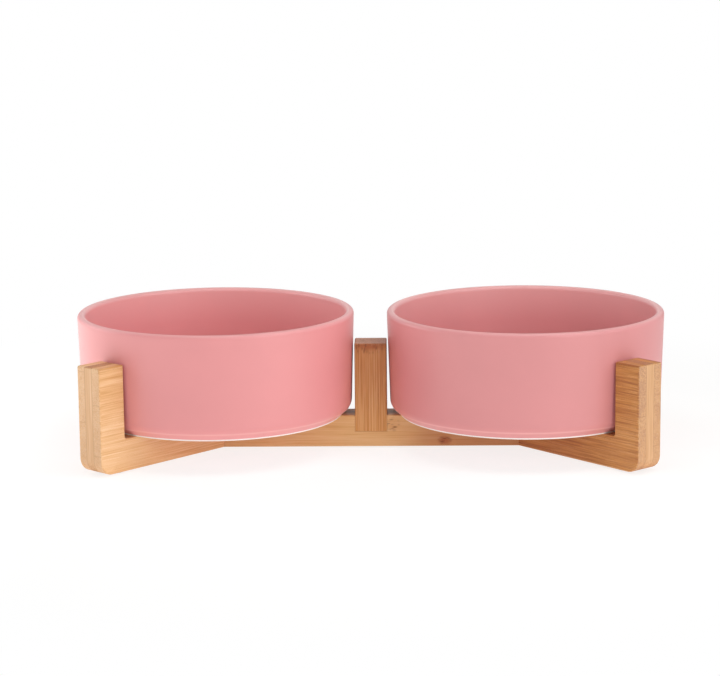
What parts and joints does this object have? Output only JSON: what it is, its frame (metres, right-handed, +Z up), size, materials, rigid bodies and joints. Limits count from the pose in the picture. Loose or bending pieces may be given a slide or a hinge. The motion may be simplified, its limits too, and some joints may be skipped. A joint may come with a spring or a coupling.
{
  "type": "double pet bowl",
  "caption": "Two round ceramic pet bowls side by side in a low bamboo stand with corner uprights and a middle post.",
  "frame": {"origin": "the middle of the stand, on the floor that the pads stand on", "axes": "+X along the rail towards the right bowl, +Y towards the back, +Z up"},
  "size_m": [0.3286, 0.155, 0.078],
  "materials": {
    "glazed_bowl": "satin matt pink glaze",
    "bamboo": "clear matt oil on laminated bamboo",
    "dowel_wood": "bare",
    "screw_steel": "zinc plated",
    "pad_rubber": "clear, tacky"
  },
  "bodies": {
    "stand": {"rail": "bamboo", "centre_post": "bamboo", "front_left_leg": "bamboo", "rear_left_leg": "bamboo", "front_right_leg": "bamboo", "rear_right_leg": "bamboo", "front_left_dowel": "dowel_wood", "rear_left_dowel": "dowel_wood", "front_right_dowel": "dowel_wood", "rear_right_dowel": "dowel_wood", "post_screw": "screw_steel", "front_left_pad": "pad_rubber", "rear_left_pad": "pad_rubber", "front_right_pad": "pad_rubber", "rear_right_pad": "pad_rubber"},
    "left_bowl": {"left_bowl": "glazed_bowl"},
    "right_bowl": {"right_bowl": "glazed_bowl"}
  },
  "joints": [
    {"name": "left_bowl_lift", "type": "slide", "parent": "stand", "child": "left_bowl", "axis": [0, 0, 1], "range_m": [0, 0.08]},
    {"name": "right_bowl_lift", "type": "slide", "parent": "stand", "child": "right_bowl", "axis": [0, 0, 1], "range_m": [0, 0.08]}
  ]
}
